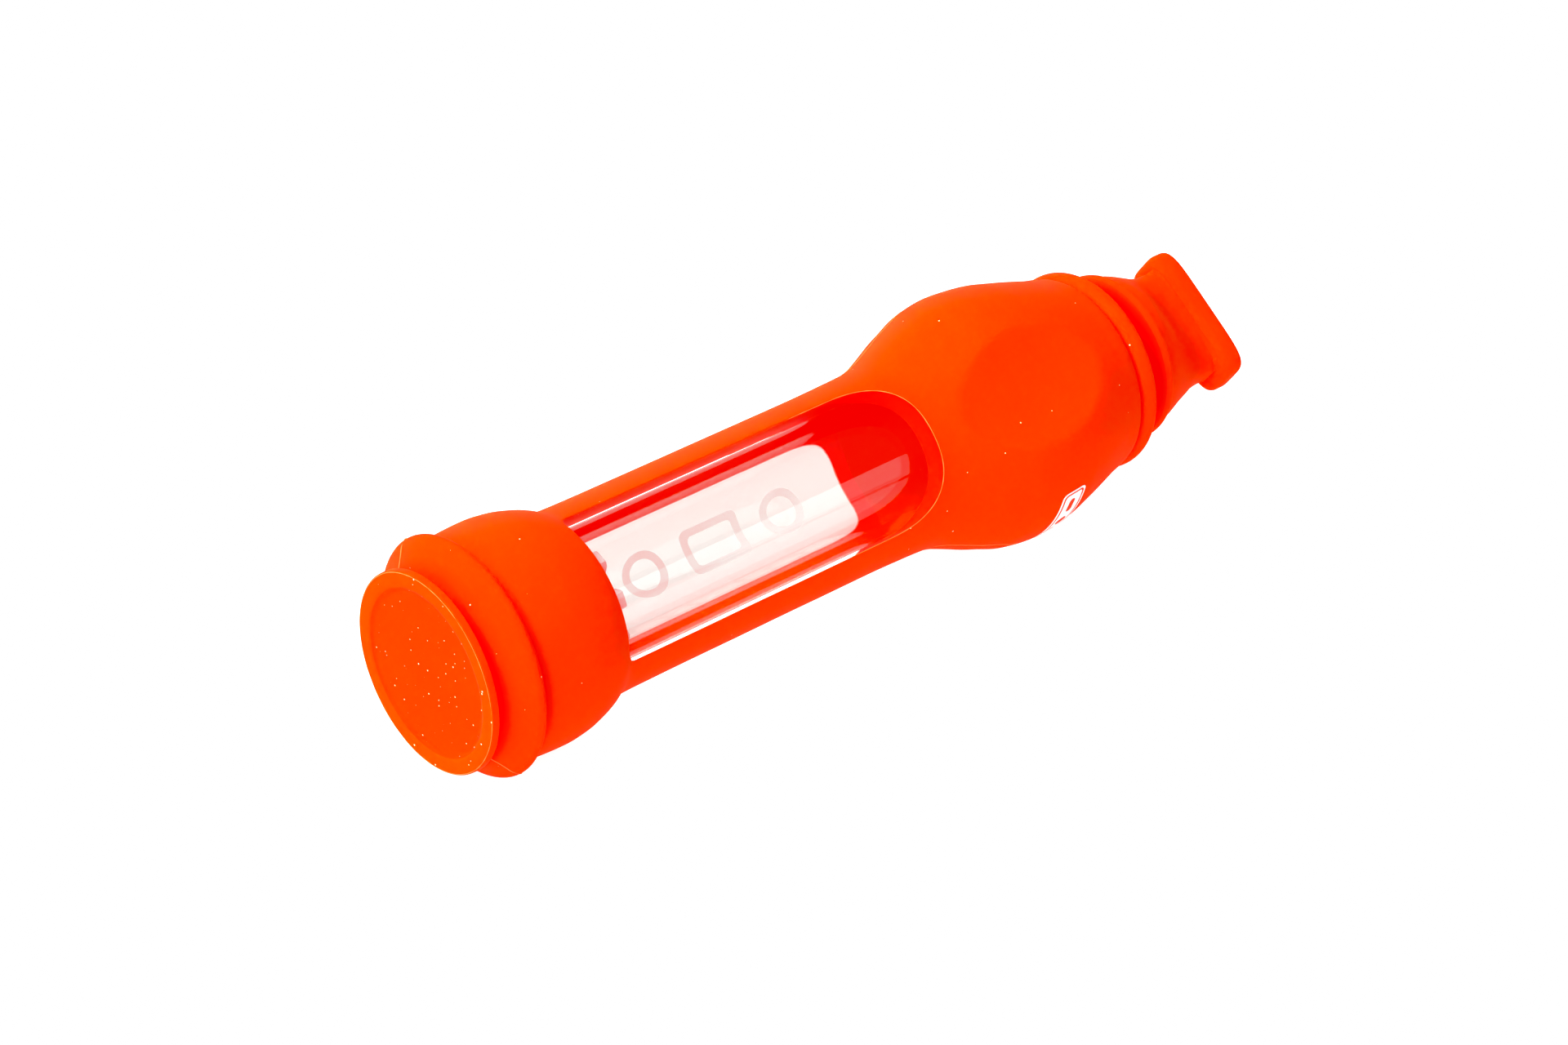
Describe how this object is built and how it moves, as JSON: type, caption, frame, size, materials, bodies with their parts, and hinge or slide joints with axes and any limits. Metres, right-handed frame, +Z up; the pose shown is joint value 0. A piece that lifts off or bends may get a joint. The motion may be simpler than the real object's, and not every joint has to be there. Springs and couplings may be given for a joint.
{
  "type": "glass hand pipe in a silicone sleeve",
  "caption": "Clear glass tube with a notched glass screen in a windowed silicone sleeve, with a disc-ended stopper and a flat-lipped mouthpiece.",
  "frame": {"origin": "on the surface the pipe lies on, below the middle of its length", "axes": "+X along the pipe from the bowl stopper's disc to the mouthpiece's lip, +Z up as it lies on its side"},
  "size_m": [0.1182, 0.031, 0.0309],
  "materials": {
    "sleeve_silicone": "satin silicone",
    "clear_glass": "clear polished",
    "screen_glass": "clear pressed",
    "stopper_silicone": "satin silicone",
    "mouthpiece_silicone": "satin silicone"
  },
  "bodies": {
    "sleeve": {"sleeve": "sleeve_silicone"},
    "glass": {"glass_tube": "clear_glass", "glass_screen": "screen_glass"},
    "bowl_stopper": {"bowl_stopper": "stopper_silicone"},
    "mouthpiece": {"mouthpiece": "mouthpiece_silicone"}
  },
  "joints": [
    {"name": "glass_slide", "type": "slide", "parent": "sleeve", "child": "glass", "axis": [-1, 0, 0], "range_m": [0, 0.092]},
    {"name": "stopper_pull", "type": "slide", "parent": "glass", "child": "bowl_stopper", "axis": [-1, 0, 0], "range_m": [0, 0.014]},
    {"name": "mouthpiece_pull", "type": "slide", "parent": "sleeve", "child": "mouthpiece", "axis": [1, 0, 0], "range_m": [0, 0.014]}
  ]
}
